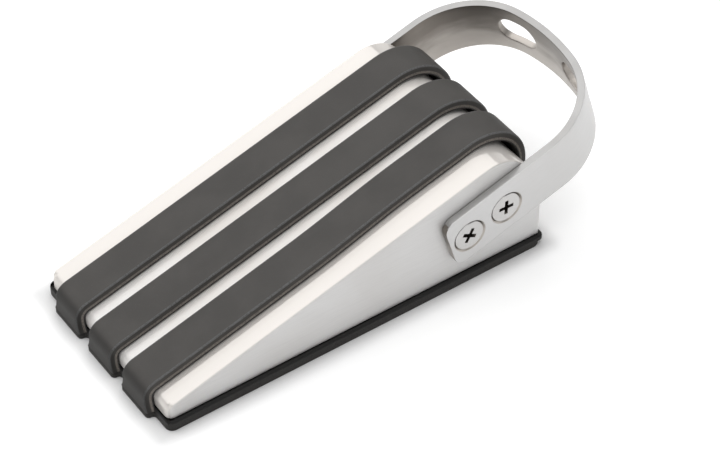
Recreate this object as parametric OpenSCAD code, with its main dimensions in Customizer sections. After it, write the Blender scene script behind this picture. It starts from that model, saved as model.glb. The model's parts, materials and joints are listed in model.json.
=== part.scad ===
// Door wedge: a pressed steel wedge on a rubber sole, held by three rubber straps,
// with a loop handle of bent steel strip screwed to its sides.
// The nose points to -X and the handle to +X. Left is -Y, as seen from the handle.

/* [Whole] */
// Length from the feet at the nose to the end of the handle
total_l = 125; // [122:0.5:132]

/* [Sole] */
// Length of the sole plate
sole_l = 98.8; // [98.4:0.1:99.4]
// Width of the sole plate
sole_w = 51; // [50.4:0.2:54]
// Thickness of the sole plate where the shell stands on it
sole_h = 2.7; // [2.5:0.1:3.4]
// Corner radius of the sole plate at the nose
sole_corner = 1.8; // [1.2:0.2:4]
// Corner radius of the sole plate behind the shell
heel_corner = 2; // [1:0.1:2.4]
// How far the rim behind the shell stands out past the plate
heel_rim = 0.7; // [0.4:0.1:0.9]
// Thickness of that rim
heel_rim_h = 1.5; // [1:0.1:1.6]
// How far a foot stands out past the front edge of the sole
toe = 1.8; // [1.6:0.1:2]
// Height of the feet that the straps stand on
toe_h = 1.4; // [1:0.1:2]
// Width of a foot
toe_w = 11; // [10.4:0.2:12.4]
// Height of the locating rib inside the shell, above the plate
rib_h = 1.4; // [0.8:0.1:1.6]
// Width of the locating rib
rib_w = 2.5; // [1.5:0.5:4]
// Number of grip grooves across the underside
groove_n = 9; // [3:1:11]
// Width of a grip groove
groove_w = 1.6; // [0.8:0.2:2.4]
// Depth of a grip groove
groove_h = 0.8; // [0.4:0.1:1.2]

/* [Shell] */
// Width of the steel shell
shell_w = 48.8; // [47:0.2:49.6]
// Sheet thickness
sheet = 0.8; // [0.6:0.1:0.9]
// Outer radius of the bends along the sides
bend_r = 1; // [1:0.1:1.3]
// Outer radius of the nose
nose_r = 1.4; // [1.4:0.1:2]
// Height of the top plane above the sole's front edge
nose_h = 6; // [5.8:0.1:6.6]
// Slope of the top in degrees
top_angle = 16.1; // [15.6:0.1:16.4]
// Slope of the rear face in degrees
rear_angle = 51; // [49:0.5:53]
// Height where the rear face meets the rear wall
rear_h = 21.9; // [21.4:0.1:22]
// Radius of the ridge between the top and the rear face
ridge_r = 10; // [8:0.5:10]
// Radius between the rear face and the rear wall
heel_r = 3; // [2.6:0.1:3.4]
// Distance from the front wall to the rear wall
shell_l = 96.4; // [96:0.1:96.6]
// How far the side walls run on past the rear wall
cheek = 1.7; // [1:0.1:1.8]

/* [Straps] */
// Width of a strap
strap_w = 9; // [8:0.2:10]
// Thickness of a strap
strap_t = 2.3; // [2.1:0.1:2.6]
// Distance between the middles of neighbouring straps
strap_pitch = 14; // [13:0.2:15]
// Radius of the long outer edges of a strap
strap_edge = 0.6; // [0.3:0.1:1]
// Outer radius of the arch behind the ridge
arch_r = 12.8; // [12.7:0.1:13]

/* [Handle] */
// Width of the handle strip
band_w = 14.5; // [12:0.5:16]
// Thickness of the handle strip
band_t = 1.8; // [1.7:0.1:2.2]
// Upward tilt of the handle in degrees
band_tilt = 17; // [15:0.5:18]
// Height of the strip's middle at the shell's rear wall
band_z = 21.3; // [20.5:0.1:22.5]
// Length of the arms on the shell's sides, measured from the rear wall
arm_l = 25.6; // [24:0.2:29]
// Corner radius of the arms' front ends
arm_corner = 3; // [1:0.5:5]
// Outer radius of the loop's two corners
loop_r = 20; // [16:0.5:22]
// Outer radius of the loop's end
end_r = 53.8; // [40:0.2:80]
// Length of a slot in the loop
slot_l = 11.2; // [9:0.2:12]
// Width of a slot
slot_w = 7.2; // [5:0.2:8]
// Distance of the slots' middles from the middle plane
slot_y = 10.3; // [9.5:0.1:11]
// Turn of a slot away from the length of the object in degrees
slot_turn = 16; // [10:1:22]

/* [Fasteners] */
// Distance of the front screws ahead of the rear wall, along the arm
screw_front = 20.4; // [19:0.1:21]
// Distance of the rear screws ahead of the rear wall, along the arm
screw_rear = 10; // [8:0.1:11]
// Distance of the screws below the middle line of the strip
screw_drop = 0.4; // [0:0.1:1]
// Diameter of the screw thread
screw_d = 3.9; // [3.5:0.1:4]
// Length of a screw with its head
screw_l = 8; // [7:1:12]
// Diameter of the screw head
head_d = 7.6; // [7:0.1:7.8]
// Diameter of the countersink at the strip's outer face
sink_d = 8.2; // [7.8:0.1:8.4]
// Diameter of the clearance holes in the shell
hole_d = 4.8; // [4.8:0.1:5.4]
// Length of the cross recess's arms
recess_l = 4.2; // [3:0.2:5]
// Width of the cross recess's arms
recess_w = 1; // [0.6:0.1:1.4]
// Depth of the cross recess
recess_h = 1.4; // [0.8:0.1:1.8]
// Outer diameter of a spring washer
washer_d = 7; // [6.4:0.1:7.6]
// Bore of a spring washer
washer_bore = 4.3; // [4.1:0.1:4.5]
// Thickness of a spring washer
washer_h = 0.9; // [0.7:0.1:1.2]
// Gap in a spring washer
washer_gap = 0.7; // [0.4:0.1:1]
// Width of a nut across its flats
nut_af = 7; // [6.6:0.1:8]
// Height of a nut
nut_h = 3.2; // [2.2:0.1:3.4]
// Bore of a nut
nut_bore = 4; // [4:0.1:4.2]

/* [Hidden] */

$fn = 96;
// Facets of a full circle on the shell's blended bends
bend_fn = 32;
// Free gap between touching pieces that aren't clamped together
gap = 0.1;
// Overlap of a cut past the face that it opens
past = 1;
// Upright rim of a screw head and chamfer of a screw's end
head_rim = 0.15;
tip_chamfer = 0.4;
// Turns of the cross recesses in degrees: left front, left rear, right front and right rear
recess_turns = [45, 72, 20, 58];
// Number of steps along a bend of the shell, its nose, the arch of a strap and a bend of the handle
bend_steps = 4;
nose_steps = 2;
arch_steps = 16;
loop_steps = 14;
// Number of steps around the round edge of a strap
edge_steps = 3;

// The sole's front edge, in the frame whose origin is the middle of the whole object's base
front_x = toe - total_l / 2;
// Corner radius of a foot, which ends a little outside the sole's edge
toe_r = toe - 4 * gap;
// From here on, X is measured from the sole's front edge
shell_front = strap_t + gap - toe;
shell_rear = shell_front + shell_l;
shell_y = shell_w / 2;
// Outward directions in the side view, in degrees from +X towards +Z
top_out = 90 + top_angle;
rear_out = 90 - rear_angle;

function top_z(x) = nose_h + x * tan(top_angle);

// Centre of a bend of radius r between the top plane and a vertical face r away from x
function under_top(x, r) = [x, top_z(x) - r / cos(top_angle)];

// Centre of a bend of radius r between the rear face and the rear wall
function under_rear(r) = [shell_rear - r, rear_h + r * tan(rear_angle) - r / cos(rear_angle)];

// Centre of a bend of radius r between the top plane and the rear face
function ridge_x(r) =
    (rear_h + shell_rear * tan(rear_angle) - r / cos(rear_angle) - nose_h + r / cos(top_angle))
    / (tan(top_angle) + tan(rear_angle));

nose_c = under_top(shell_front + nose_r, nose_r);
ridge_c = under_top(ridge_x(ridge_r), ridge_r);
heel_c = under_rear(heel_r);

// Evenly spaced directions of a bend in degrees
function bend_angles(from, to, steps) = [for (i = [0 : steps]) from + (to - from) * i / steps];

// Points at a distance r from a bend's centre
function bend_points(centre, r, from, to, steps) =
    [for (a = bend_angles(from, to, steps)) centre + r * [cos(a), sin(a)]];

function reversed(list) = [for (i = [len(list) - 1 : -1 : 0]) list[i]];

// Side outline at a depth under the shell's skin, from the nose over the ridge to the rear wall
function skin_path(depth) = concat(
    bend_points(nose_c, nose_r - depth, 180, top_out, nose_steps),
    bend_points(ridge_c, ridge_r - depth, top_out, rear_out, bend_steps),
    bend_points(heel_c, heel_r - depth, rear_out, 0, bend_steps));

// Straps lie on the shell with the free gap under them
nose_in = nose_r + gap;
arch_in = arch_r - strap_t;
arch_c = under_top(shell_rear + gap - arch_in, arch_in - gap);

// Section of a strap as [height above its inner face, place across it], with round outer edges
strap_side = strap_w / 2 - strap_edge;
strap_lift = strap_t - strap_edge;
strap_section = concat(
    [[0, -strap_w / 2], [0, strap_w / 2]],
    bend_points([strap_lift, strap_side], strap_edge, 90, 0, edge_steps),
    bend_points([strap_lift, -strap_side], strap_edge, 0, -90, edge_steps));

// Stations along a strap's inner face as [x, z, outward direction], from foot to foot
function strap_bend(centre, r, from, to, steps) =
    [for (a = bend_angles(from, to, steps)) [centre[0] + r * cos(a), centre[1] + r * sin(a), a]];

strap_stations = concat(
    [[nose_c[0] - nose_in, toe_h, 180]],
    strap_bend(nose_c, nose_in, 180, top_out, 2 * bend_steps),
    strap_bend(arch_c, arch_in, top_out, 0, arch_steps),
    [[arch_c[0] + arch_in, toe_h, 0]]);

// Handle loop in its own plane: u along the arms from the rear wall, y across
loop_y = shell_y + band_t - loop_r;
end_back = sqrt((end_r - loop_r) ^ 2 - loop_y ^ 2);
loop_turn = atan2(end_back, loop_y);
end_u = (total_l - toe - shell_rear - band_w / 2 * sin(band_tilt)) / cos(band_tilt);
loop_u = end_u - end_r + end_back;
slot_u = loop_u - end_back + sqrt((end_r - band_t) ^ 2 - slot_y ^ 2);

// One face of the handle strip, inset from its outer face, from the left arm round to the right arm
function loop_face(inset) = let (
        corner = bend_points([loop_u, loop_y], loop_r - inset, 90 - loop_turn, 90, loop_steps),
        end = bend_points([loop_u - end_back, 0], end_r - inset, 0, 90 - loop_turn, loop_steps / 2),
        arm = [-2 * arm_l, shell_y + band_t - inset],
        half = concat(end, [for (i = [1 : loop_steps]) corner[i]], [arm]))
    concat([for (p = reversed(half)) [p[0], -p[1]]], [for (i = [1 : len(half) - 1]) half[i]]);

// Moves a piece from the sole's front edge to the object's own origin
module placed() {
    translate([front_x, 0, 0]) children();
}

// Moves a piece into the tilted plane of the handle
module in_handle_plane() {
    translate([shell_rear, 0, band_z]) rotate([0, -band_tilt, 0]) children();
}

// A rectangle with round corners, from its lowest corner
module round_rectangle(size, r) {
    translate([r, 0]) square([size[0] - 2 * r, size[1]]);
    translate([0, r]) square([size[0], size[1] - 2 * r]);
    for (x = [r, size[0] - r], y = [r, size[1] - r])
        translate([x, y]) circle(r);
}

// The shell's outer form, with round bends along its sides
module shell_skin() {
    side_y = shell_y - bend_r;
    ball_r = bend_r / cos(180 / bend_fn);
    hull() {
        for (side = [-1, 1], p = skin_path(bend_r))
            translate([p[0], side * side_y, p[1]]) sphere(ball_r, $fn = bend_fn);
        for (side = [-1, 1], x = [shell_front + bend_r, shell_rear - bend_r])
            translate([x, side * side_y, sole_h]) cylinder(h = sheet, r = bend_r, $fn = bend_fn);
    }
}

// The space inside the shell, one sheet thickness under its skin
module shell_inside() {
    floor_z = sole_h - past;
    rotate([90, 0, 0]) linear_extrude(shell_w - 2 * sheet, center = true)
        polygon(concat([[shell_front + sheet, floor_z]], skin_path(sheet), [[shell_rear - sheet, floor_z]]));
}

// Two through holes across the whole width, on the screw lines
module screw_holes(d) {
    for (u = [screw_front, screw_rear])
        in_handle_plane() translate([-u, 0, -screw_drop]) rotate([90, 0, 0])
            cylinder(h = 2 * sole_w, d = d, center = true);
}

// Strip of each side wall that runs on past the rear wall, cut off along the rear face
module cheeks() {
    root = 2 * bend_r;
    top = rear_h - bend_r / cos(rear_angle);
    outline = [
        [-root, sole_h], [cheek, sole_h],
        [cheek, top - cheek * tan(rear_angle)], [-root, top + root * tan(rear_angle)]];
    for (side = [-1, 1])
        translate([shell_rear, side * (shell_y - sheet / 2), 0]) rotate([90, 0, 0])
            linear_extrude(sheet, center = true) polygon(outline);
}

// Pressed sheet-steel wedge, open underneath
module wedge_shell() {
    color("silver") placed() difference() {
        union() {
            difference() {
                shell_skin();
                shell_inside();
            }
            cheeks();
        }
        screw_holes(hole_d);
        translate([-past, -sole_w / 2, 0]) cube([sole_l + 2 * past, sole_w, sole_h]);
    }
}

// Feet that carry the strap ends at the front and at the rear
module toes() {
    length = shell_rear + gap + strap_t + toe;
    for (i = [-1, 0, 1])
        translate([-toe, i * strap_pitch - toe_w / 2, 0]) linear_extrude(toe_h)
            round_rectangle([length, toe_w], toe_r);
}

// Room for the upright strap ends
module strap_notches() {
    front_in = shell_front - gap;
    rear_in = shell_rear + gap;
    for (i = [-1, 0, 1], span = [[-toe - past, front_in], [rear_in, rear_in + strap_t + past]])
        translate([span[0], i * strap_pitch - strap_w / 2, -past])
            cube([span[1] - span[0], strap_w, sole_h + 2 * past]);
}

// Low rib on the sole that keeps the shell in place from the inside
module locating_rib() {
    inset = sheet + 5 * gap;
    length = shell_l - 2 * inset;
    width = shell_w - 2 * inset;
    translate([shell_front + inset, -width / 2, sole_h]) linear_extrude(rib_h) difference() {
        round_rectangle([length, width], bend_r - sheet);
        translate([rib_w, rib_w]) square([length - 2 * rib_w, width - 2 * rib_w]);
    }
}

// Grip grooves across the underside, inside one unbroken border
module grip_grooves() {
    border = 5;
    step = (sole_l - 2 * border) / groove_n;
    for (i = [0 : groove_n - 1])
        translate([border + (i + 0.5) * step - groove_w / 2, border - sole_w / 2, -past])
            cube([groove_w, sole_w - 2 * border, groove_h + past]);
}

// Plate under the shell with its rib and the rim behind the shell, cut out for the straps
module sole_plate() {
    middle_x = sole_l / 2;
    difference() {
        union() {
            translate([0, -sole_w / 2, 0]) linear_extrude(sole_h) {
                round_rectangle([middle_x + sole_corner, sole_w], sole_corner);
                translate([middle_x, 0]) round_rectangle([sole_l - middle_x, sole_w], heel_corner);
                translate([sole_corner, 0]) square([middle_x, sole_w]);
            }
            translate([middle_x, -sole_w / 2, sole_h - heel_rim_h]) linear_extrude(heel_rim_h)
                round_rectangle([sole_l + heel_rim - middle_x, sole_w], heel_corner);
            locating_rib();
        }
        strap_notches();
    }
}

// Rubber sole with its feet and its grip grooves
module rubber_sole() {
    color([0.12, 0.12, 0.12]) placed() difference() {
        union() {
            sole_plate();
            toes();
        }
        grip_grooves();
    }
}

// One strap from its front foot over the nose, the top and the ridge to its rear foot
module strap(i) {
    count = len(strap_section);
    last = len(strap_stations) - 1;
    points = [for (s = strap_stations, p = strap_section)
        [s[0] + p[0] * cos(s[2]), p[1], s[1] + p[0] * sin(s[2])]];
    sides = [for (ring = [0 : last - 1], j = [0 : count - 1]) let (k = (j + 1) % count)
        [ring * count + k, ring * count + j, (ring + 1) * count + j, (ring + 1) * count + k]];
    ends = [[for (j = [0 : count - 1]) j], [for (j = [count - 1 : -1 : 0]) last * count + j]];
    color([0.33, 0.33, 0.32]) placed() translate([0, i * strap_pitch, 0])
        polyhedron(points, concat(sides, ends));
}

// The handle strip seen from the side, with round corners on the arms' front ends
module strip_outline() {
    r = arm_corner;
    length = arm_l + end_u;
    translate([r - arm_l, -band_w / 2]) square([length, band_w]);
    translate([-arm_l, r - band_w / 2]) square([length, band_w - 2 * r]);
    for (side = [-1, 1])
        translate([r - arm_l, side * (band_w / 2 - r)]) circle(r);
}

// Oval opening through the loop on one side of its end
module loop_slot(side) {
    reach = (slot_l - slot_w) / 2;
    depth = 6 * band_t;
    translate([slot_u, side * slot_y, 0]) rotate([0, 0, side * slot_turn]) {
        for (end = [-1, 1])
            translate([0, end * reach, 0]) rotate([0, 90, 0])
                cylinder(h = depth, d = slot_w, center = true);
        cube([depth, 2 * reach, slot_w], center = true);
    }
}

// Right-angled countersink through one arm, widening outwards
module screw_seat(u, side) {
    translate([-u, side * shell_y, -screw_drop]) rotate([-side * 90, 0, 0]) translate([0, 0, -past])
        cylinder(h = band_t + 2 * past, r1 = sink_d / 2 - band_t - past, r2 = sink_d / 2 + past);
}

// Steel strip bent to a loop: two arms, two round corners and a flatter end
module handle_band() {
    color("gainsboro") placed() in_handle_plane() difference() {
        intersection() {
            linear_extrude(band_w + 2 * past, center = true)
                polygon(concat(loop_face(0), reversed(loop_face(band_t))));
            rotate([90, 0, 0]) linear_extrude(2 * sole_w, center = true) strip_outline();
        }
        for (side = [-1, 1]) {
            loop_slot(side);
            screw_seat(screw_front, side);
            screw_seat(screw_rear, side);
        }
    }
}

// Puts a fastener on a screw line, with +Z outwards and Z = 0 on the shell's outer face
module on_screw_line(u, side) {
    placed() in_handle_plane() translate([-u, side * shell_y, -screw_drop])
        rotate([-side * 90, 0, 0]) children();
}

// Countersunk screw with a cross recess at an angle, its head seated in the strip
module screw(u, side, angle) {
    edge_z = band_t - (sink_d - head_d) / 2 + gap / 4;
    neck_z = edge_z - (head_d - screw_d) / 2;
    top = edge_z + head_rim;
    tip = top - screw_l;
    color("whitesmoke") on_screw_line(u, side) difference() {
        rotate_extrude() polygon([
            [0, tip], [screw_d / 2 - tip_chamfer, tip], [screw_d / 2, tip + tip_chamfer],
            [screw_d / 2, neck_z], [head_d / 2, edge_z], [head_d / 2, top], [0, top]]);
        for (turn = [0, 90])
            rotate([0, 0, angle + turn]) translate([-recess_l / 2, -recess_w / 2, top - recess_h])
                cube([recess_l, recess_w, recess_h + past]);
    }
}

// Split ring under a nut
module spring_washer(u, side) {
    color("darkgray") on_screw_line(u, side) translate([0, 0, -sheet - washer_h]) difference() {
        cylinder(h = washer_h, d = washer_d);
        translate([0, 0, -past]) cylinder(h = washer_h + 2 * past, d = washer_bore);
        translate([0, -washer_gap / 2, -past]) cube([washer_d, washer_gap, washer_h + 2 * past]);
    }
}

// Hexagon nut inside the shell
module nut(u, side) {
    seat_z = -sheet - washer_h;
    color("lightgray") on_screw_line(u, side) translate([0, 0, seat_z - nut_h]) difference() {
        cylinder(h = nut_h, d = nut_af / cos(30), $fn = 6);
        translate([0, 0, -past]) cylinder(h = nut_h + 2 * past, d = nut_bore);
    }
}

wedge_shell();
rubber_sole();
strap(-1);  // strap_left
strap(0);  // strap_middle
strap(1);  // strap_right
handle_band();
screw(screw_front, -1, recess_turns[0]);  // screw_left_front
screw(screw_rear, -1, recess_turns[1]);  // screw_left_rear
screw(screw_front, 1, recess_turns[2]);  // screw_right_front
screw(screw_rear, 1, recess_turns[3]);  // screw_right_rear
spring_washer(screw_front, -1);  // spring_washer_left_front
spring_washer(screw_rear, -1);  // spring_washer_left_rear
spring_washer(screw_front, 1);  // spring_washer_right_front
spring_washer(screw_rear, 1);  // spring_washer_right_rear
nut(screw_front, -1);  // nut_left_front
nut(screw_rear, -1);  // nut_left_rear
nut(screw_front, 1);  // nut_right_front
nut(screw_rear, 1);  // nut_right_rear
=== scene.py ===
import json
import math

import bmesh
import bpy
from mathutils import Matrix, Vector


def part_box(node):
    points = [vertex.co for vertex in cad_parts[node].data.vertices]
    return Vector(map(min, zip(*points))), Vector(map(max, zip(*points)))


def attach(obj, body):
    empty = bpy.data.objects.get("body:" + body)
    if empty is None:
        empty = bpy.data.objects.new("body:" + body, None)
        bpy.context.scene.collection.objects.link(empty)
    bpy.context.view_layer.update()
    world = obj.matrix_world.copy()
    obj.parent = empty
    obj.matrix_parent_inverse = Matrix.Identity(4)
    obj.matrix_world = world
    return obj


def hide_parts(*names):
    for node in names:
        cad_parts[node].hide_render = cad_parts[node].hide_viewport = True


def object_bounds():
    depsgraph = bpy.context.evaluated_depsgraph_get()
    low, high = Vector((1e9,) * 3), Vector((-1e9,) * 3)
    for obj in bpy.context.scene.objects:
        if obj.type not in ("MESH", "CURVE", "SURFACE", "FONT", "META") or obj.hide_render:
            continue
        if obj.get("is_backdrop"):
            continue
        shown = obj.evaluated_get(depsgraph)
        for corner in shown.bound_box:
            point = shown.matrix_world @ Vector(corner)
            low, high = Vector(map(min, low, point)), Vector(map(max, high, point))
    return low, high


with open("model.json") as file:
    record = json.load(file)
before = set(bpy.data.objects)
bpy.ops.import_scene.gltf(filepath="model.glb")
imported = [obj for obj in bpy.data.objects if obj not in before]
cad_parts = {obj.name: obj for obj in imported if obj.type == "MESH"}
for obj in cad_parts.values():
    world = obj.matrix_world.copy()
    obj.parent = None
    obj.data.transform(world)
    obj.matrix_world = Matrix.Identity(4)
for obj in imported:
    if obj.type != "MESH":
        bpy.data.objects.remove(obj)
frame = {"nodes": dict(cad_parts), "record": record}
cad_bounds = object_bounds()

# Meshes are modelled in millimetres and scaled to metres when a piece is finished
MM = 0.001
# Points closer than this are one point
WELD = 0.004
# How far a cutting tool reaches past what it cuts
PAST = 1.0
# Sides of a full circle
SIDES = 48


def node_box(node):
    """Lowest and highest corner of a node in millimetres."""
    low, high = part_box(node)
    return low / MM, high / MM


def node_middle(node):
    low, high = node_box(node)
    return (low + high) / 2


def mount(name):
    return next(m for m in frame["record"]["mounts"] if m["name"] == name)


# Places taken from the frame
shell_low, shell_high = node_box("wedge_shell")
sole_low, sole_high = node_box("rubber_sole")
CHEEK = 1.7
FRONT = shell_low.x
REAR = shell_high.x - CHEEK
SHELL_Y = shell_high.y
SOLE_TOP = shell_low.z
STRAPS = ("strap_left", "strap_middle", "strap_right")
STRAP_PITCH = node_middle("strap_right").y

# Shell: the straps' nose bend is set by the inner nose radius, the steel's own by the shell nose radius
SHEET = 0.8
BEND_R = 0.4
NOSE_R = 1.4
SHELL_NOSE_R = 2.0
NOSE_CORNER = 1.6
NOSE_CORNER_STEPS = 6
RIDGE_R = 10.0
HEEL_R = 3.0
REAR_SLOPE = math.radians(51)
REAR_H = 21.9
CHEEK_EDGE = 0.35
CHEEK_ROOT = 1.0
HOLE_D = 4.8

# Straps: both edges end in a thin lip on the steel, and the front feet flare out
STRAP_W = 9.0
STRAP_T = 2.3
STRAP_GAP = 0.1
STRAP_EDGE = 0.6
STRAP_INNER_EDGE = 0.2
LIP = 0.35
LIP_H = 0.8
ARCH_R = 10.5
FOOT_H = 1.4
FLARE = 0.85
FLARE_H = 3.2

# A strap lies a little off its middle line, by one distance at the nose and one at the ridge
DRIFT = {"strap_left": (-0.15, 0.7), "strap_middle": (-0.3, -0.3), "strap_right": (-0.2, -0.2)}
DRIFT_FROM = FRONT + 40
DRIFT_TO = FRONT + 68
DRIFT_H = 12.0

# Steps of a strap's mesh along its front leg, nose bend, sloping run, arch and rear leg
LEG_STEPS = 8
NOSE_STEPS = 10
RUN_STEPS = 24
ARCH_STEPS = 28
REAR_LEG_STEPS = 6

# Sole: feet stand out under the straps, by one distance in front and one behind
TOE = 1.8
TOE_W = 11.0
TOE_R = 1.0
TOE_EDGE = 0.3
HEEL_TOE = 0.6
HEEL_TOE_R = 0.4
FRONT_R = 1.8
REAR_R = 2.0
SOLE_L = 98.8
SOLE_EDGE = 0.6
SOLE_FOOT = 0.15
PLATE_FOOT = 0.01
SEAM = 0.15

# Bead along the sole's upper edge behind the shell
RIM_EDGE = 0.3
RIM_OUT = 0.7
RIM_H = 1.5
RIM_DEPTH = 2.4
RIM_R = 1.2

# Slits beside the shell's walls, grooves underneath and the rib inside the shell
SLIT_W = 0.35
SLIT_H = 0.9
GROOVES = 9
GROOVE_W = 1.6
GROOVE_H = 0.8
GROOVE_R = 0.6
GROOVE_BORDER = 5.0
RIB_H = 1.4
RIB_W = 2.5
RIB_R = 0.4
RIB_INSET = 1.3

# Handle, in the plane of its loop: u runs back from the shell's rear wall, y across
BAND_W = 14.5
BAND_T = 1.8
TILT = math.radians(17)
BAND_Z = 21.3
BAND_END = node_box("handle_band")[1].x
ARM_L = 25.6
ARM_R = 3.0
EDGE_R = 0.28
SLOT_L = 11.2
SLOT_W = 7.2
SLOT_S = 10.6
SEAT_D = 8.4
SEAT_EDGE = 0.05
BEND_STEP = math.radians(3)

# Middle line of the loop: radii of its corners and its end, the corners' centres from the end's
# centre, the half angle of the end, the u of its tip, and half lengths of the end and of all bends
CORNER_R = 20.0 - BAND_T / 2
END_R = 53.8 - BAND_T / 2
CORNER_ASIDE = BAND_T / 2 + SHELL_Y - CORNER_R
CORNER_BACK = math.sqrt((END_R - CORNER_R) ** 2 - CORNER_ASIDE ** 2)
END_BOW = math.atan2(CORNER_ASIDE, CORNER_BACK)
LOOP_TIP = (BAND_END - REAR - BAND_W / 2 * math.sin(TILT)) / math.cos(TILT) - BAND_T / 2
END_HALF = END_R * END_BOW
BENT_HALF = END_HALF + CORNER_R * (math.pi / 2 - END_BOW)

# Screws
SCREW_D = 3.9
HEAD_D = 7.5
HEAD_RIM = 0.15
HEAD_EDGE = 0.12
SCREW_PITCH = 0.7
THREAD_H = 0.3
RECESS_L = 4.6
RECESS_W = 1.05
RECESS_H = 1.5
RECESS_TAPER = (0.6, 0.7, 1)
SCREW_TURNS = {
    "screw_left_front": 45,
    "screw_left_rear": 72,
    "screw_right_front": 20,
    "screw_right_rear": 58,
}

# How squarely a face points aside, up or along to take the finish of a side, a flat or an end; sides, walls
# of holes and ends take painted shade
SIDEWAYS = 0.8
FLATWAYS = 0.9
ENDWAYS = 0.6

# Stage: the floor lies just under the sole, and the surroundings turn dim between two heights
FLOOR_SIZE = 4
FLOOR_GAP = 0.00002
DIM_FROM = 0.2
DIM_TO = 0.6

# Camera at the photograph's view
AZIMUTH = math.radians(-35.047)
ELEVATION = math.radians(44.366)
DISTANCE = 0.550515
TARGET = Vector((-0.001590, -0.010765, 0.015417))
LENS = 125.84
SENSOR = 36

# Slope of the faces that the door runs onto, and depth of the shell's top under them
door_face = mount("door_face")
TOP_SLOPE = math.atan2(-door_face["axis"][0], door_face["axis"][2])
SHELL_DEPTH = STRAP_T + STRAP_GAP


def top_z(x, depth=0.0):
    """Height of the straps' outer face, or of a plane that lies deeper."""
    door_x, _, door_z = (value / MM for value in door_face["pos_m"])
    return door_z + (x - door_x) * math.tan(TOP_SLOPE) - depth / math.cos(TOP_SLOPE)


def under_top(x, r):
    """Centre of a bend of radius r that touches the shell's top from below."""
    return Vector((x, top_z(x, SHELL_DEPTH + r)))


def under_ridge(r):
    """Centre of a bend of radius r between the top and the rear face."""
    rear_z = REAR_H + REAR * math.tan(REAR_SLOPE) - r / math.cos(REAR_SLOPE)
    x = (rear_z - top_z(0, SHELL_DEPTH + r)) / (math.tan(TOP_SLOPE) + math.tan(REAR_SLOPE))
    return under_top(x, r)


def under_heel(r):
    """Centre of a bend of radius r between the rear face and the rear wall."""
    return Vector((REAR - r, REAR_H + r * math.tan(REAR_SLOPE) - r / math.cos(REAR_SLOPE)))


nose_c = under_top(FRONT + NOSE_R, NOSE_R)
shell_nose_c = under_top(FRONT + SHELL_NOSE_R, SHELL_NOSE_R)
ridge_c = under_ridge(RIDGE_R)
heel_c = under_heel(HEEL_R)
arch_c = under_top(REAR + STRAP_GAP - ARCH_R, ARCH_R - STRAP_GAP)


# Mesh tools

def only(kind, geom):
    return [g for g in geom if isinstance(g, kind)]


class Pen:
    """Draws a chain of edges in the XY plane, as straight runs and tangent arcs."""

    def __init__(self, bm, x, y, heading=0.0):
        self.bm = bm
        self.first = bm.verts.new((x, y, 0))
        self.tip = self.first
        self.heading = math.radians(heading)

    def run(self, length):
        way = Vector((math.cos(self.heading), math.sin(self.heading), 0))
        return self.to(*(self.tip.co + way * length).xy)

    def to(self, x, y):
        step = Vector((x, y, 0)) - self.tip.co
        if step.length > WELD:
            self.heading = math.atan2(step.y, step.x)
            self.tip = bmesh.ops.extrude_vert_indiv(self.bm, verts=[self.tip])["verts"][0]
            self.tip.co += step
        return self

    def arc(self, radius, degrees, steps=8):
        side = math.copysign(radius, degrees)
        centre = self.tip.co + Vector((-math.sin(self.heading), math.cos(self.heading), 0)) * side
        turned = bmesh.ops.spin(
            self.bm, geom=[self.tip], cent=centre, axis=(0, 0, 1), angle=math.radians(degrees), steps=steps)
        self.tip = only(bmesh.types.BMVert, turned["geom_last"])[0]
        self.heading += math.radians(degrees)
        return self

    def close(self):
        """Joins the end to the start."""
        if (self.tip.co - self.first.co).length > WELD:
            self.bm.edges.new((self.tip, self.first))
        else:
            bmesh.ops.weld_verts(self.bm, targetmap={self.tip: self.first})


def ring(bm, length, width, corner, centre=(0, 0), z=0.0):
    """Edges of a rectangle with round corners; full corners make an oval or a circle."""
    before = set(bm.edges)
    pen = Pen(bm, centre[0] - length / 2 + corner, centre[1] - width / 2)
    for side in (length, width, length, width):
        pen.run(side - 2 * corner).arc(corner, 90)
    pen.close()
    edges = [e for e in bm.edges if e not in before]
    bmesh.ops.translate(bm, vec=(0, 0, z), verts=list({v for e in edges for v in e.verts}))
    return edges


def bridge_rings(bm, rings):
    for first, second in zip(rings, rings[1:]):
        bmesh.ops.bridge_loops(bm, edges=first + second)


def extrude(bm, faces, offset):
    """Grows faces into a solid."""
    grown = bmesh.ops.extrude_face_region(bm, geom=faces)["geom"]
    bmesh.ops.translate(bm, vec=offset, verts=only(bmesh.types.BMVert, grown))


def fill_out(bm, height):
    """Fills the outline that is drawn and grows it upwards into a solid."""
    extrude(bm, bmesh.ops.edgeloop_fill(bm, edges=bm.edges[:])["faces"], (0, 0, height))


def sweep(bm, edges, offset, steps):
    """Draws edges out into bands of faces, in equal steps, and returns the edges at the end."""
    for _ in range(steps):
        grown = bmesh.ops.extrude_edge_only(bm, edges=edges)["geom"]
        ends = set(only(bmesh.types.BMVert, grown))
        bmesh.ops.translate(bm, vec=Vector(offset) / steps, verts=list(ends))
        edges = [e for e in only(bmesh.types.BMEdge, grown) if ends.issuperset(e.verts)]
    return edges


def turn(bm, edges, centre, angle, steps):
    """Sweeps edges round an axis across the object and returns the edges at the end."""
    geom = list(dict.fromkeys(g for e in edges for g in (e, *e.verts)))
    swept = bmesh.ops.spin(
        bm, geom=geom, cent=(centre.x, 0, centre.y), axis=(0, 1, 0), angle=angle, steps=steps)
    return only(bmesh.types.BMEdge, swept["geom_last"])


def bevel(bm, geom, offset, segments, affect="EDGES"):
    bmesh.ops.bevel(
        bm, geom=geom, offset=offset, offset_type="OFFSET", segments=segments, profile=0.5,
        affect=affect, material=-1, clamp_overlap=False)


def bisect(bm, point, normal, dist=0.0):
    """Divides the faces that a plane crosses and keeps both sides."""
    geom = bm.verts[:] + bm.edges[:] + bm.faces[:]
    bmesh.ops.bisect_plane(bm, geom=geom, dist=dist, plane_co=point, plane_no=normal)


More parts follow.
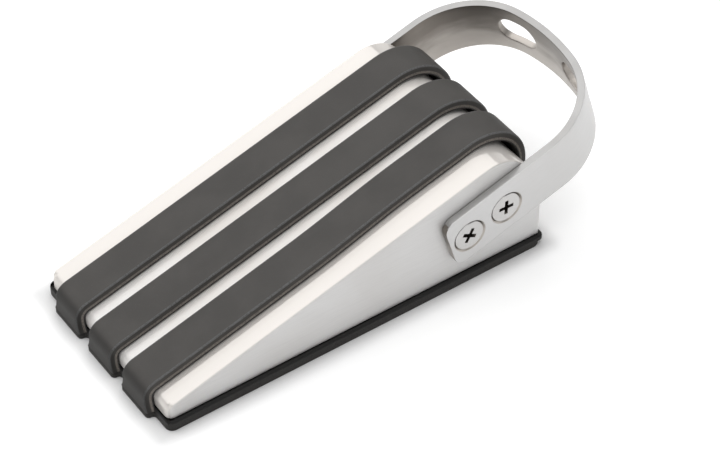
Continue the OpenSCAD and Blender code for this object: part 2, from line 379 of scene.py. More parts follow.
def stand(bm):
    """Turns an outline's own Y up to Z."""
    bmesh.ops.rotate(bm, cent=(0, 0, 0), matrix=Matrix.Rotation(math.pi / 2, 3, "X"), verts=bm.verts)


def clean(bm):
    bmesh.ops.remove_doubles(bm, verts=bm.verts, dist=WELD)
    bmesh.ops.recalc_face_normals(bm, faces=bm.faces)


def climb(edge):
    """Height between an edge's ends."""
    return abs(edge.verts[0].co.z - edge.verts[1].co.z)


def edges_at(bm, z):
    """Edges that lie level at a height."""
    return [e for e in bm.edges if all(abs(v.co.z - z) < WELD for v in e.verts)]


def add_object(name, data):
    obj = bpy.data.objects.new(name, data)
    bpy.context.scene.collection.objects.link(obj)
    return obj


def bare_object(bm, name):
    """An object without a finish, made of a mesh that is used up."""
    mesh = bpy.data.meshes.new(name)
    bm.to_mesh(mesh)
    bm.free()
    return add_object(name, mesh)


def combine(bm, tools, operation):
    """The solid with the tools' solids cut out of it or joined to it."""
    solid = bare_object(bm, "solid")
    others = [bare_object(tool, "tool") for tool in tools]
    for other in others:
        modifier = solid.modifiers.new("combine", "BOOLEAN")
        modifier.operation = operation
        modifier.solver = "EXACT"
        modifier.object = other
    result = bmesh.new()
    result.from_object(solid, bpy.context.evaluated_depsgraph_get())
    bmesh.ops.dissolve_degenerate(result, dist=WELD / 10, edges=result.edges)
    for obj in (solid, *others):
        bpy.data.meshes.remove(obj.data)
    return result


def cut(bm, *tools):
    return combine(bm, tools, "DIFFERENCE")


def join(bm, *tools):
    return combine(bm, tools, "UNION")


def block(low, high, edge=0.0):
    """A box between two corners, with round upright edges where an edge radius is given."""
    bm = bmesh.new()
    middle = (Vector(low) + Vector(high)) / 2
    size = Vector(high) - Vector(low)
    bmesh.ops.create_cube(bm, size=1, matrix=Matrix.LocRotScale(middle, None, size))
    if edge:
        bevel(bm, [e for e in bm.edges if climb(e) > size.z / 2], edge, 5)
    return bm


def rod(start, end, d):
    """A straight cylinder between two points."""
    bm = bmesh.new()
    way = Vector(end) - Vector(start)
    turned = way.to_track_quat("Z", "Y").to_matrix().to_4x4()
    place = Matrix.Translation((Vector(start) + Vector(end)) / 2) @ turned
    bmesh.ops.create_cone(
        bm, cap_ends=True, segments=SIDES, radius1=d / 2, radius2=d / 2, depth=way.length, matrix=place)
    return bm


def finish_piece(bm, name, materials, slot, *nodes, sharp=35):
    """Makes a piece of a mesh, which rides on the only body and stands for its nodes."""
    bmesh.ops.scale(bm, vec=(MM, MM, MM), verts=bm.verts)
    piece = bare_object(bm, name)
    for material in materials:
        piece.data.materials.append(material)
    piece.data.shade_smooth()
    piece.data.set_sharp_from_angle(angle=math.radians(sharp))
    normals = piece.modifiers.new("flat faces", "WEIGHTED_NORMAL")
    normals.keep_sharp = True
    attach(piece, "root")
    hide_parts(*nodes)


# Materials

class Value:
    """A shader socket that takes part in arithmetic."""

    def __init__(self, shader, socket):
        self.shader = shader
        self.socket = socket

    def math(self, operation, *others):
        return self.shader.math(operation, self, *others)

    def __add__(self, other):
        return self.math("ADD", other)

    __radd__ = __add__

    def __mul__(self, other):
        return self.math("MULTIPLY", other)

    __rmul__ = __mul__

    def __sub__(self, other):
        return self.math("SUBTRACT", other)

    def __rsub__(self, other):
        return self.shader.math("SUBTRACT", other, self)

    def __pow__(self, other):
        return self.math("POWER", other)

    def __abs__(self):
        return self.math("ABSOLUTE")

    def between(self, low, high):
        """0 up to low, 1 from high on, and a smooth rise from one to the other."""
        return self.shader.node(
            "MapRange", {"interpolation_type": "SMOOTHSTEP"},
            {"Value": self, "From Min": low, "From Max": high})


class Shader:
    """A node tree that is built from expressions."""

    def __init__(self, tree):
        self.tree = tree
        tree.nodes.clear()

    def node(self, kind, settings=None, inputs=None, output=0):
        made = self.tree.nodes.new("ShaderNode" + kind)
        for name, value in (settings or {}).items():
            setattr(made, name, value)
        for name, value in (inputs or {}).items():
            if isinstance(value, Value):
                self.tree.links.new(value.socket, made.inputs[name])
            else:
                made.inputs[name].default_value = value
        return Value(self, made.outputs[output]) if len(made.outputs) else None

    def math(self, operation, *values):
        return self.node("Math", {"operation": operation}, dict(enumerate(values)))

    def mix(self, factor, a, b):
        """Colour between a and b."""
        return self.node("Mix", {"data_type": "RGBA"}, {0: factor, 6: a, 7: b}, 2)

    def place(self):
        """Place on the object in metres."""
        return self.node("TexCoord", output="Object")

    def strip(self):
        """Place on the flat strip that the handle is bent from, in metres."""
        return self.node("UVMap", {"uv_map": "strip"})

    def attribute(self, name):
        return self.node("Attribute", {"attribute_name": name}, None, "Fac")

    def axes(self, vector):
        return [self.node("SeparateXYZ", None, {0: vector}, i) for i in range(3)]

    def noise(self, vector, scale, detail, stretch=(1, 1, 1)):
        """Soft noise around 0.5 with features of about 1 / scale metres."""
        stretched = self.node("Mapping", None, {"Vector": vector, "Scale": stretch})
        return self.node("TexNoise", None, {"Vector": stretched, "Scale": scale, "Detail": detail})

    def bump(self, height, distance):
        return self.node("Bump", None, {"Height": height, "Distance": distance, "Strength": 1.0})

    def blend(self, factor, first, second):
        """Surface between two surfaces."""
        return self.node("MixShader", None, {0: factor, 1: first, 2: second})

    def surface(self, shader):
        self.node("OutputMaterial", None, {"Surface": shader})


def grey(value, warmth=0.0):
    """A colour near grey; warmth takes from its blue and a little from its green."""
    return (value, value * (1 - warmth / 2), value * (1 - warmth), 1)


def new_finish(name):
    material = bpy.data.materials.new(name)
    material.use_nodes = True
    return material, Shader(material.node_tree)


# Grain of the finishes: scale and stretch of the noise, and depth of its bumps in metres
BRUSH_SCALE = 9000
BRUSHED = (0.02, 1, 1)
EVEN = (1, 1, 1)
BRUSH_DEPTH = 0.000004
STEEL_CLOUD = 45
# Streaks of the handle's painted shade and reflection
SHADE_STREAK_SCALE = 260
SHADE_STREAKED = (0.3, 1, 1)
RUBBER_GRAIN = 3500
RUBBER_CLOUD = 90
GRAIN_DEPTH = 0.00002
# Values of a cloudy noise between which one colour passes into another
CLOUDY = (0.3, 0.7)
# Painted shade: the straps' front legs are darker ahead of the first place and plain behind the second
LEG_SHADE = (FRONT - 1.9, FRONT - 0.7)


def satin_steel(
        name, tone, warmth, rough, clear, soft=0.0, outer=0.0, along=BRUSHED, where=Shader.place):
    """Steel with a broad sheen, of which a share is soft, and a sharp reflection for the clear share.

    On the strips outside the straps the clear share can be larger by outer; there the colour is darker, as
    painted shade that tones down their brighter reflection.
    """
    material, s = new_finish(name)
    spot = where(s)
    lines = s.noise(spot, BRUSH_SCALE, 3, along)
    cloud = s.noise(spot, STEEL_CLOUD, 3)
    colour = s.mix(cloud.between(*CLOUDY), grey(tone * 0.97, warmth), grey(tone * 1.03, warmth * 0.5))
    colour = s.mix(lines.between(0.35, 0.75) * 0.15, colour, grey(tone * 0.8, warmth))
    share = clear + (cloud - 0.5) * 0.15
    if outer:
        edge = (STRAP_PITCH + STRAP_W / 2) * MM
        outside = abs(s.axes(spot)[1]).between(edge - MM, edge)
        # Painted shade on the outer strips
        colour = s.mix(outside, colour, grey(tone * 0.9, warmth))
        share = share + outside * outer
    sheen = s.node("BsdfPrincipled", None, {
        "Base Color": colour,
        "Metallic": 1.0 - soft,
        "Roughness": rough + (lines - 0.5) * 0.16,
        "Normal": s.bump(lines, BRUSH_DEPTH),
    })
    mirror = s.node("BsdfPrincipled", None, {
        "Base Color": colour,
        "Metallic": 1.0,
        "Roughness": 0.05 + cloud * 0.06,
    })
    s.surface(s.blend(share, sheen, mirror))
    return material


def shaded_inner_steel(name, tone, warmth):
    """Painted shade and reflection for the handle's inner face, the walls of its holes and its ends:
    brownish, streaked along the strip and darker towards its upper edge.
    """
    material, s = new_finish(name)
    spot = s.strip()
    streaks = s.noise(spot, SHADE_STREAK_SCALE, 4, SHADE_STREAKED)
    lines = s.noise(spot, BRUSH_SCALE, 2, BRUSHED)
    across = s.axes(spot)[1]
    shade = across.between(-BAND_W / 2 * MM, BAND_W / 2 * MM) + (streaks - 0.5) * 0.9
    colour = s.mix(shade.between(0.1, 0.9), grey(tone, warmth), grey(tone * 0.45, warmth * 1.4))
    s.surface(s.node("BsdfPrincipled", None, {
        "Base Color": colour,
        "Metallic": 1.0,
        "Roughness": 0.36 + (streaks - 0.5) * 0.2,
        "Normal": s.bump(lines, BRUSH_DEPTH),
    }))
    return material


def rubber(name, tone, warmth, rough, shine, level, painted_bands, front=0.0):
    """Moulded rubber with a fine matte skin.

    Bands of painted light and shade lie between two values of a level; what hangs down in front is darker
    by a share, as painted shade.
    """
    material, s = new_finish(name)
    spot = s.place()
    grain = s.noise(spot, RUBBER_GRAIN, 3)
    cloud = s.noise(spot, RUBBER_CLOUD, 4)
    colour = s.mix(cloud.between(*CLOUDY), grey(tone * 0.9, warmth), grey(tone * 1.1, warmth))
    colour = s.mix(grain.between(0.58, 0.78) * 0.35, colour, grey(tone * 1.5, warmth))
    for low, high, fade, lift, tint in painted_bands:
        height = level(s)
        inside = height.between((low - fade) * MM, low * MM)
        beyond = height.between(high * MM, (high + fade) * MM)
        band = inside * (1 - beyond)
        colour = s.mix(band * grain.between(0.2, 0.6), colour, grey(tone * lift, tint))
    # Painted shade on the front legs
    if front:
        dark, plain = LEG_SHADE
        ahead = 1 - s.axes(spot)[0].between(dark * MM, plain * MM)
        colour = s.mix(ahead * front, colour, grey(0.0))
    s.surface(s.node("BsdfPrincipled", None, {
        "Base Color": colour,
        "Roughness": rough + (cloud - 0.5) * 0.12 + (grain - 0.5) * 0.1,
        "Specular IOR Level": shine,
        "Normal": s.bump(grain, GRAIN_DEPTH),
    }))
    return material


def above_steel(s):
    return s.attribute("height")


def above_floor(s):
    return s.axes(s.place())[2]


# Bands of painted light and shade: low, high and fade in millimetres, how much lighter, and how warm
# Painted shade in the crevice where a strap meets the steel
STRAP_CREVICE_SHADE = (0.0, 0.3, 0.1, 0.2, 0.1)
# Painted light, warm from the steel beside it, on the lower part of a strap's side
STRAP_FOOT_LIGHT = (0.55, 0.9, 0.15, 3.2, 0.2)
# Painted highlight along a strap's upper edge
STRAP_RIM_HIGHLIGHT = (2.0, 2.26, 0.04, 1.9, 0.0)
# Painted light on the sole's side, which is lighter than its upper face
SOLE_SIDE_LIGHT = (0.3, 2.0, 0.3, 2.8, 0.12)

# The shell's top and sides are one steel: a lighter copy on top and a darker copy on the sides, as painted
# light and shade
lit_top_steel = satin_steel(
    "shell_top_lit_steel", tone=0.84, warmth=0.09, rough=0.6, clear=0.06, soft=0.6, outer=0.2)
shaded_side_steel = satin_steel("shell_side_shaded_steel", tone=0.66, warmth=0.03, rough=0.6, clear=0.0)
handle_steel = satin_steel(
    "handle_satin_steel", tone=0.6, warmth=0.02, rough=0.45, clear=0.2, where=Shader.strip)
# The strip's edges take a darker copy of the handle's steel, as painted shade
handle_shaded_edges = satin_steel(
    "handle_edge_shaded_steel", tone=0.42, warmth=0.04, rough=0.5, clear=0.1, where=Shader.strip)
# The handle's inner face, hole walls and ends get painted shade and reflection, brownish and streaked
handle_shade = shaded_inner_steel("handle_shaded_steel", tone=0.46, warmth=0.14)
screw_steel = satin_steel("screw_plated_steel", tone=0.57, warmth=0.05, rough=0.35, clear=0.4, along=EVEN)
# The cross recess takes a dark, warm copy of the steel, as painted shade
recess_shade_steel = satin_steel("screw_recess_shaded_steel", tone=0.2, warmth=0.3, rough=0.4, clear=0.2, along=EVEN)
strap_rubber = rubber(
    "strap_grey_rubber", tone=0.072, warmth=0.11, rough=0.6, shine=0.25, level=above_steel,
    painted_bands=(STRAP_CREVICE_SHADE, STRAP_FOOT_LIGHT, STRAP_RIM_HIGHLIGHT), front=0.45)
sole_rubber = rubber(
    "sole_black_rubber", tone=0.013, warmth=0.06, rough=0.5, shine=0.2, level=above_floor,
    painted_bands=(SOLE_SIDE_LIGHT,))


# Pieces

def cheek(side):
    """Strip of a side wall that runs on past the rear wall, with a round rear edge."""
    bm = bmesh.new()
    root = REAR - CHEEK_ROOT
    end = REAR + CHEEK
    top = REAR_H - CHEEK_ROOT / math.cos(REAR_SLOPE)
    fall = math.tan(REAR_SLOPE)
    pen = Pen(bm, root, SOLE_TOP).to(end, SOLE_TOP).to(end, top - CHEEK * fall)
    pen.to(root, top + CHEEK_ROOT * fall).close()
    fill_out(bm, SHEET)
    stand(bm)
    bmesh.ops.translate(bm, vec=(0, side * SHELL_Y + (SHEET if side < 0 else 0), 0), verts=bm.verts)
    clean(bm)
    rear = [e for e in bm.edges if min(v.co.x for v in e.verts) > end - WELD]
    bevel(bm, [e for e in rear if climb(e) > SHEET], CHEEK_EDGE, 4)
    return bm


def shell_form(depth, floor):
    """Solid wedge whose faces lie at a depth under the shell's outer faces."""
    bm = bmesh.new()
    slope = math.degrees(TOP_SLOPE)
    fall = math.degrees(REAR_SLOPE)
    up = Vector((-math.sin(TOP_SLOPE), math.cos(TOP_SLOPE)))
    back = Vector((math.sin(REAR_SLOPE), math.cos(REAR_SLOPE)))
    half = SHELL_Y - depth
    pen = Pen(bm, FRONT + depth, floor, 90).to(FRONT + depth, shell_nose_c.y)
    pen.arc(SHELL_NOSE_R - depth, slope - 90, 10)
    pen.to(*(ridge_c + up * (RIDGE_R - depth))).arc(RIDGE_R - depth, -slope - fall, 14)
    pen.to(*(heel_c + back * (HEEL_R - depth))).arc(HEEL_R - depth, fall - 90, 6)
    pen.to(REAR - depth, floor).close()
    fill_out(bm, 2 * half)
    bmesh.ops.translate(bm, vec=(0, 0, -half), verts=bm.verts)
    stand(bm)
    clean(bm)
    return bm


def round_nose_corners(bm):
    """Rounds the nose's two corners, seen from above."""
    inner_x = FRONT + NOSE_CORNER
    inner_y = SHELL_Y - NOSE_CORNER
    steps = [NOSE_CORNER * i / NOSE_CORNER_STEPS for i in range(NOSE_CORNER_STEPS)]
    for step in steps:
        bisect(bm, (inner_x - step, 0, 0), (1, 0, 0), WELD)
    for side in (-1, 1):
        for step in steps:
            bisect(bm, (0, side * (inner_y + step), 0), (0, 1, 0), WELD)
    for v in bm.verts:
        ahead = inner_x - v.co.x
        aside = abs(v.co.y) - inner_y
        if min(ahead, aside) > 0:
            pull = max(ahead, aside) / math.hypot(ahead, aside)
            v.co.x = inner_x - ahead * pull
            v.co.y = math.copysign(inner_y + aside * pull, v.co.y)
    clean(bm)


def wedge_shell():
    """Sheet-steel wedge, open underneath, with round bends and holes for the screws."""
    bm = shell_form(0, SOLE_TOP)
    rims = [
        e for e in bm.edges
        if abs(e.verts[0].co.y - e.verts[1].co.y) < WELD
        and max(v.co.z for v in e.verts) > SOLE_TOP + WELD]
    bevel(bm, rims, BEND_R, 4)
    round_nose_corners(bm)
    holes = []
    for name in ("screw_left_front", "screw_left_rear"):
        x, _, z = node_middle(name)
        holes.append(rod((x, -2 * SHELL_Y, z), (x, 2 * SHELL_Y, z), HOLE_D))
    bm = cut(join(bm, cheek(-1), cheek(1)), shell_form(SHEET, SOLE_TOP - PAST), *holes)
    bm.normal_update()
    for face in bm.faces:
        # Sides take the darker copy of the steel, as painted shade
        face.material_index = int(abs(face.normal.y) > SIDEWAYS)
    finish_piece(bm, "shell", [lit_top_steel, shaded_side_steel], "shell_steel", "wedge_shell")


def foot_bumps(pen, out, corner):
    """Three feet along an edge, each with round corners and hollow corners at its root."""
    hollow = out - corner
    flat = TOE_W - 2 * corner
    space = STRAP_PITCH - TOE_W - 2 * hollow
    for i in range(3):
        pen.arc(hollow, -90).arc(corner, 90).run(flat).arc(corner, 90).arc(hollow, -90)
        if i < 2:
            pen.run(space)


def sole_outline(front, rear, half, feet):
    """Outline of the sole with round corners, and with feet for the straps at both ends or without."""
    bm = bmesh.new()
    reach = STRAP_PITCH + TOE_W / 2
    pen = Pen(bm, front + FRONT_R, -half).to(rear - REAR_R, -half).arc(REAR_R, 90)
    if feet:
        pen.to(rear, -reach - HEEL_TOE + HEEL_TOE_R)
        foot_bumps(pen, HEEL_TOE, HEEL_TOE_R)
    pen.to(rear, half - REAR_R).arc(REAR_R, 90).to(front + FRONT_R, half).arc(FRONT_R, 90)
    if feet:
        pen.to(front, reach + TOE - TOE_R)
        foot_bumps(pen, TOE, TOE_R)
    pen.to(front, FRONT_R - half).arc(FRONT_R, 90).close()
    return bm


def sole_slab(bm, floor, top, foot, edge):
    """Solid between two heights over an outline, with round edges below and above."""
    fill_out(bm, top - floor)
    bmesh.ops.translate(bm, vec=(0, 0, floor), verts=bm.verts)
    clean(bm)
    bevel(bm, edges_at(bm, floor), foot, 2)
    bevel(bm, edges_at(bm, top), edge, 4)
    clean(bm)
    return bm


def heel_rim(rear, half):
    """Bead that stands out behind the shell along the plate's upper edge."""
    bm = bmesh.new()
    length = RIM_OUT + RIM_DEPTH
    ring(bm, length, 2 * half, RIM_R, (rear + RIM_OUT - length / 2, 0), SOLE_TOP - RIM_H)
    fill_out(bm, RIM_H)
    clean(bm)
    bevel(bm, [e for e in bm.edges if climb(e) < WELD], RIM_EDGE, 3)
    return bm


def locating_rib():
    """Low wall on the plate that keeps the shell in place from the inside."""
    bm = bmesh.new()
    length = REAR - FRONT - 2 * RIB_INSET
    width = 2 * (SHELL_Y - RIB_INSET)
    middle = ((FRONT + REAR) / 2, 0)
    edges = []
    for inset in (0, 2 * RIB_W):
        edges += ring(bm, length - inset, width - inset, RIB_R, middle, SOLE_TOP - SEAM)
    filled = bmesh.ops.triangle_fill(bm, edges=edges, use_beauty=True, normal=(0, 0, 1))["geom"]
    extrude(bm, only(bmesh.types.BMFace, filled), (0, 0, RIB_H + SEAM))
    clean(bm)
    return bm


def strap_notches():
    """Room above the feet for the straps' ends."""
    wide = TOE_W / 2 + 2 * STRAP_GAP
    slim = STRAP_W / 2 + LIP + STRAP_GAP
    top = SOLE_TOP + PAST
    for y in (-STRAP_PITCH, 0, STRAP_PITCH):
        yield block((sole_low.x - PAST, y - wide, -PAST), (FRONT - STRAP_GAP, y + wide, top))
        yield block((REAR + STRAP_GAP, y - slim, -PAST), (sole_high.x + PAST, y + slim, top))


def shell_slits():
    """Narrow slits in the plate along the lower edge of the shell's front and side walls."""
    low, high = SOLE_TOP - SLIT_H, SOLE_TOP + PAST
    front, side = FRONT - SLIT_W, SHELL_Y + SLIT_W
    yield block((front, -side, low), (FRONT + SHEET, side, high))
    for edge in (-1, 1):
        y = sorted((edge * (SHELL_Y - SHEET), edge * side))
        yield block((front, y[0], low), (REAR + CHEEK - SLIT_W, y[1], high))


def grip_grooves(front, half):
    """Grooves across the underside, inside one unbroken border."""
    step = (SOLE_L - 2 * GROOVE_BORDER) / GROOVES
    y = half - GROOVE_BORDER
    for i in range(GROOVES):
        x = front + GROOVE_BORDER + (i + 0.5) * step
        yield block((x - GROOVE_W / 2, -y, -PAST), (x + GROOVE_W / 2, y, GROOVE_H), GROOVE_R)


def rubber_sole():
    """Rubber plate with feet under the straps, a rim behind the shell and a grooved underside."""
    front = sole_low.x + TOE
    rear = front + SOLE_L
    half = sole_high.y
    feet = sole_slab(sole_outline(front, rear, half, True), 0, FOOT_H - SEAM, SOLE_FOOT, TOE_EDGE)
    plate = sole_slab(sole_outline(front, rear, half, False), SOLE_FOOT, SOLE_TOP, PLATE_FOOT, SOLE_EDGE)
    plate = join(cut(plate, *strap_notches()), heel_rim(rear, half), locating_rib())
    bm = join(feet, cut(plate, *shell_slits()))
    bm = cut(bm, *grip_grooves(front, half))
    finish_piece(bm, "sole", [sole_rubber], "sole_rubber", "rubber_sole")


def strap_section(bm, height, middle):
    """Outline of a strap's section at its front foot, with round outer edges and a thin lip at its base."""
    inner = FRONT - STRAP_GAP
    half = STRAP_W / 2
    bmesh.ops.create_grid(bm, x_segments=1, y_segments=1, size=0.5)
    bmesh.ops.scale(bm, vec=(STRAP_T, STRAP_W, 1), verts=bm.verts)
    bmesh.ops.translate(bm, vec=(inner - STRAP_T / 2, middle, FOOT_H), verts=bm.verts)
    outside = [v for v in bm.verts if v.co.x < inner - STRAP_T / 2]
    inside = [v for v in bm.verts if v not in outside]
    bevel(bm, outside, STRAP_EDGE, 6, "VERTICES")
    bevel(bm, inside, STRAP_INNER_EDGE, 2, "VERTICES")
    for level in (LIP_H, LIP_H / 2):
        bisect(bm, (inner - level, 0, 0), (1, 0, 0))
    for v in bm.verts:
        rise = inner - v.co.x
        v[height] = rise * MM
        if rise < LIP_H and abs(v.co.y - middle) > half - WELD:
            v.co.y += math.copysign(LIP * (1 - rise / LIP_H), v.co.y - middle)
    outline = [e for e in bm.edges if e.is_boundary]
    bmesh.ops.delete(bm, geom=bm.faces[:], context="FACES_KEEP_BOUNDARY")
    return outline


def settle(bm, name, middle):
    """Spreads a strap's front foot and shifts its run a little to the side."""
    at_nose, at_ridge = DRIFT[name]
    for v in bm.verts:
        if v.co.x < FRONT:
            share = max(0, 1 - (v.co.z - FOOT_H) / FLARE_H)
            v.co.y += math.copysign(FLARE, v.co.y - middle) * share ** 2
        along = min(max((v.co.x - DRIFT_FROM) / (DRIFT_TO - DRIFT_FROM), 0), 1)
        lifted = min((v.co.z - FOOT_H) / DRIFT_H, 1)
        v.co.y += (at_nose + (at_ridge - at_nose) * along ** 2 * (3 - 2 * along)) * lifted


def strap(name):
    """Rubber strap from its front foot over the nose, the top and the ridge to its rear foot."""
    bm = bmesh.new()
    height = bm.verts.layers.float.new("height")
    middle = node_middle(name).y
    way = Vector((math.cos(TOP_SLOPE), 0, math.sin(TOP_SLOPE)))
    run = (arch_c.x - nose_c.x - (ARCH_R - NOSE_R - STRAP_GAP) * math.sin(TOP_SLOPE)) / way.x
    end = strap_section(bm, height, middle)
    end = sweep(bm, end, (0, 0, nose_c.y - FOOT_H), LEG_STEPS)
    end = turn(bm, end, nose_c, math.pi / 2 - TOP_SLOPE, NOSE_STEPS)
    end = sweep(bm, end, way * run, RUN_STEPS)
    end = turn(bm, end, arch_c, math.pi / 2 + TOP_SLOPE, ARCH_STEPS)
    sweep(bm, end, (0, 0, FOOT_H - arch_c.y), REAR_LEG_STEPS)
    bmesh.ops.holes_fill(bm, edges=[e for e in bm.edges if e.is_boundary])
    settle(bm, name, middle)
    clean(bm)
    finish_piece(bm, name.replace("strap", "rubber_strap"), [strap_rubber], "strap_rubber", name, sharp=50)


def loop_path(s):
    """Point and outward direction at a length s along the middle of the handle's loop."""
    end_u = LOOP_TIP - END_R
    side = math.copysign(1, s)
    length = abs(s)
    if length <= END_HALF:
        angle = length / END_R
        out = Vector((math.cos(angle), side * math.sin(angle)))
        return Vector((end_u, 0)) + out * END_R, out
    angle = min(END_BOW + (length - END_HALF) / CORNER_R, math.pi / 2)
    out = Vector((math.cos(angle), side * math.sin(angle)))
    point = Vector((end_u + CORNER_BACK, side * CORNER_ASIDE)) + out * CORNER_R
    return point - Vector((max(length - BENT_HALF, 0), 0)), out


def edge_levels():
    """Inset and height of the rings that round both edges of the strip."""
    angles = [math.radians(a) for a in (0, 45, 90)]
    top = [(EDGE_R * (1 - math.cos(a)), BAND_T / 2 - EDGE_R * (1 - math.sin(a))) for a in angles]
    return [(inset, -z) for inset, z in reversed(top)] + top


def screw_seats(place, half):
    """Middles of the screws' seats on the flat strip."""
    for name in SCREW_TURNS:
        middle = node_middle(name)
        u, _, w = place.inverted() @ middle
        yield math.copysign(half - ARM_L - u, middle.y), w


def flat_strip(seats, half):
    """The handle's strip before it is bent, with two slots and four countersunk holes."""
    bm = bmesh.new()
    levels = edge_levels()
    bridge_rings(bm, [
        ring(bm, 2 * half - 2 * inset, BAND_W - 2 * inset, ARM_R - inset, (0, 0), z)
        for inset, z in levels])
    for side in (-1, 1):
        bridge_rings(bm, [
            ring(bm, SLOT_L + 2 * inset, SLOT_W + 2 * inset, SLOT_W / 2 + inset, (side * SLOT_S, 0), z)
            for inset, z in levels])
    face, outer = BAND_T / 2, SEAT_D / 2
    cone = ((outer - BAND_T, -face), (outer - SEAT_EDGE, face - SEAT_EDGE), (outer + SEAT_EDGE, face))
    for seat in seats:
        bridge_rings(bm, [ring(bm, 2 * r, 2 * r, r, seat, z) for r, z in cone])
    for z in (-face, face):
        rims = [e for e in edges_at(bm, z) if e.is_boundary]
        bmesh.ops.triangle_fill(bm, edges=rims, use_beauty=True, normal=(0, 0, 1))
    bends = int(BENT_HALF / CORNER_R / BEND_STEP)
    for s in [BENT_HALF * i / bends for i in range(-bends, bends + 1)] + [s for s, _ in seats]:
        bisect(bm, (s, 0, 0), (1, 0, 0), WELD / 4)
    clean(bm)
    return bm


def strip_finish(face, seats, half):
    """Finish of a face of the flat strip.

    0 is outside, 1 on its edges, which take a darker copy as painted shade, and 2 inside, in the holes and
    at its ends, which take painted shade and reflection.
    """
    middle = face.calc_center_median()
    upright = abs(face.normal.z) < FLATWAYS
    in_slot = abs(middle.y) < SLOT_W / 2 + EDGE_R and abs(middle.x) < SLOT_S + SLOT_L / 2 + EDGE_R
    in_seat = any((middle.xy - Vector(seat)).length < SEAT_D / 2 for seat in seats)
    at_end = abs(middle.x) > half - ARM_R and abs(face.normal.x) > ENDWAYS
    # Walls of slots and seats and the arm ends take painted shade
    if upright and (in_slot or in_seat or at_end):
        return 2
    return 1 - round(face.normal.z)


def handle_band():
    """Steel strip bent to a loop."""
    half = BENT_HALF + loop_path(BENT_HALF)[0].x + ARM_L
    place = Matrix.Translation((REAR, 0, BAND_Z)) @ Matrix.Rotation(-TILT, 4, "Y")
    seats = list(screw_seats(place, half))
    bm = flat_strip(seats, half)
    strip = bm.loops.layers.uv.new("strip")
    for face in bm.faces:
        face.material_index = strip_finish(face, seats, half)
        for corner in face.loops:
            corner[strip].uv = corner.vert.co.xy * MM
    for v in bm.verts:
        point, out = loop_path(v.co.x)
        u, y = point + out * v.co.z
        v.co = place @ Vector((u, y, v.co.y))
    finishes = [handle_steel, handle_shaded_edges, handle_shade]
    finish_piece(bm, "handle", finishes, "handle_steel", "handle_band", sharp=40)


def recess_blade(top, degrees):
    """Tool for one of the two slots of a cross recess, smaller at its floor."""
    bm = block((-RECESS_L / 2, -RECESS_W / 2, top - RECESS_H), (RECESS_L / 2, RECESS_W / 2, top + PAST))
    bmesh.ops.scale(bm, vec=RECESS_TAPER, verts=[v for v in bm.verts if v.co.z < top])
    turned = Matrix.Rotation(math.radians(degrees), 3, "Z")
    bmesh.ops.rotate(bm, cent=(0, 0, 0), matrix=turned, verts=bm.verts)
    return bm


def screw(name):
    """Countersunk screw with a cross recess and a threaded shank."""
    low, high = node_box(name)
    side = -1 if low.y < 0 else 1
    top = max(abs(low.y), abs(high.y)) - SHELL_Y
    tip = min(abs(low.y), abs(high.y)) - SHELL_Y
    neck = top - HEAD_RIM - (HEAD_D - SCREW_D) / 2
    root = SCREW_D / 2 - THREAD_H
    bm = bmesh.new()
    pen = Pen(bm, 0, tip).to(root, tip)
    for i in range(int((neck - tip) / SCREW_PITCH)):
        z = tip + i * SCREW_PITCH
        pen.to(SCREW_D / 2, z + SCREW_PITCH / 2).to(root, z + SCREW_PITCH)
    pen.to(SCREW_D / 2, neck).to(HEAD_D / 2, top - HEAD_RIM).to(HEAD_D / 2, top - HEAD_EDGE)
    pen.to(HEAD_D / 2 - HEAD_EDGE, top).to(0, top)
    stand(bm)
    bmesh.ops.spin(
        bm, geom=bm.verts[:] + bm.edges[:], cent=(0, 0, 0), axis=(0, 0, 1), angle=2 * math.pi, steps=SIDES,
        use_merge=True)
    clean(bm)
    bm = cut(bm, *[recess_blade(top, SCREW_TURNS[name] + quarter) for quarter in (0, 90)])
    # Faces in the cross recess take the painted shade
    for face in bm.faces:
        spot = face.calc_center_median()
        sunk = top - RECESS_H - WELD < spot.z < top - WELD
        face.material_index = int(sunk and spot.xy.length < RECESS_L / 2)
    middle = (low + high) / 2
    place = Matrix.Translation((middle.x, side * SHELL_Y, middle.z)) @ Matrix.Rotation(-TILT, 4, "Y")
    bmesh.ops.transform(bm, matrix=place @ Matrix.Rotation(-side * math.pi / 2, 4, "X"), verts=bm.verts)
    finishes = [screw_steel, recess_shade_steel]
    finish_piece(bm, name.replace("screw", "cross_screw"), finishes, "fastener_steel", name, sharp=30)


wedge_shell()
rubber_sole()
for strap_name in STRAPS:
    strap(strap_name)
handle_band()
for screw_name in SCREW_TURNS:
    screw(screw_name)
for node_name, node_object in frame["nodes"].items():
    if node_name.startswith(("nut", "spring_washer")):
        node_object.material_slots[0].material = screw_steel


# Stage

def seen_directly(s):
    """1 for what the camera sees directly, in a reflection or through glass, and 0 for light."""
    kinds = ("Is Camera Ray", "Is Glossy Ray", "Is Transmission Ray")
    straight, mirrored, through = [s.node("LightPath", output=kind) for kind in kinds]
    return straight.math("MAXIMUM", mirrored).math("MAXIMUM", through)


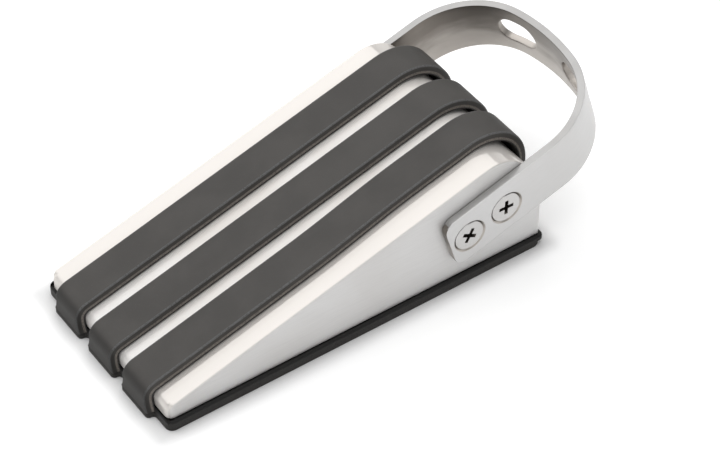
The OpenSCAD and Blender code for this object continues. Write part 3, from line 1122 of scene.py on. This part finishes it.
def add_floor(tone, glow, fade):
    """Pale floor whose glow makes it white in the picture, but not near the sole, where the shadow lies."""
    bm = bmesh.new()
    bmesh.ops.create_grid(bm, x_segments=1, y_segments=1, size=FLOOR_SIZE)
    bmesh.ops.translate(bm, vec=(0, 0, -FLOOR_GAP), verts=bm.verts)
    floor = bare_object(bm, "floor")
    material, s = new_finish("floor_white")
    middle = (sole_low + sole_high) / 2 * MM
    half = (sole_high - sole_low) / 2 * MM
    x, y, _ = s.axes(s.place())
    gaps = [abs(x - middle.x) - half.x, abs(y - middle.y) - half.y]
    gap_x, gap_y = [gap.math("MAXIMUM", 0.0) for gap in gaps]
    away = ((gap_x ** 2 + gap_y ** 2) ** 0.5).between(0.0, fade)
    s.surface(s.node("BsdfPrincipled", None, {
        "Base Color": grey(tone),
        "Roughness": 0.9,
        "Specular IOR Level": 0.0,
        "Emission Color": s.mix(away * seen_directly(s), grey(0.0), grey(glow)),
        "Emission Strength": 1.0,
    }))
    floor.data.materials.append(material)
    floor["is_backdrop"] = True


def add_world(light):
    """Surroundings that look white near the horizon and as dim as their light higher up."""
    world = bpy.data.worlds.new("studio")
    world.use_nodes = True
    bpy.context.scene.world = world
    s = Shader(world.node_tree)
    rise = s.axes(s.node("TexCoord", output="Generated"))[2]
    sky = s.mix(rise.between(DIM_FROM, DIM_TO), grey(1.0), grey(light))
    colour = s.mix(seen_directly(s), grey(light), sky)
    background = s.node("Background", None, {"Color": colour, "Strength": 1.0})
    s.node("OutputWorld", None, {"Surface": background})


def add_softbox(name, direction, distance, size, power):
    """Square lamp that faces the object."""
    lamp = bpy.data.lights.new(name, "AREA")
    lamp.size = size
    lamp.energy = power
    obj = add_object(name, lamp)
    way = Vector(direction).normalized()
    obj.location = way * distance
    obj.rotation_euler = way.to_track_quat("Z", "Y").to_euler()


def add_camera():
    level = math.cos(ELEVATION)
    back = Vector((math.sin(AZIMUTH) * level, -math.cos(AZIMUTH) * level, math.sin(ELEVATION)))
    camera = bpy.data.cameras.new("camera")
    camera.sensor_fit = "HORIZONTAL"
    camera.sensor_width = SENSOR
    camera.lens = LENS
    camera.clip_start = 0.01
    obj = add_object("camera", camera)
    obj.location = TARGET + back * DISTANCE
    obj.rotation_euler = back.to_track_quat("Z", "Y").to_euler()
    bpy.context.scene.camera = obj


add_floor(tone=0.9, glow=0.3, fade=0.005)
add_world(light=0.2)
add_softbox("softbox_above", direction=(-0.05, 0.4, 0.9), distance=0.7, size=1.2, power=6.6)
add_softbox("softbox_front", direction=(-0.1, -0.55, 0.8), distance=0.9, size=0.8, power=2.0)
add_camera()
bpy.context.scene.view_settings.view_transform = "Standard"

boxes = {"cad": cad_bounds, "visual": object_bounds()}
{name: [list(corner) for corner in box] for name, box in boxes.items()}
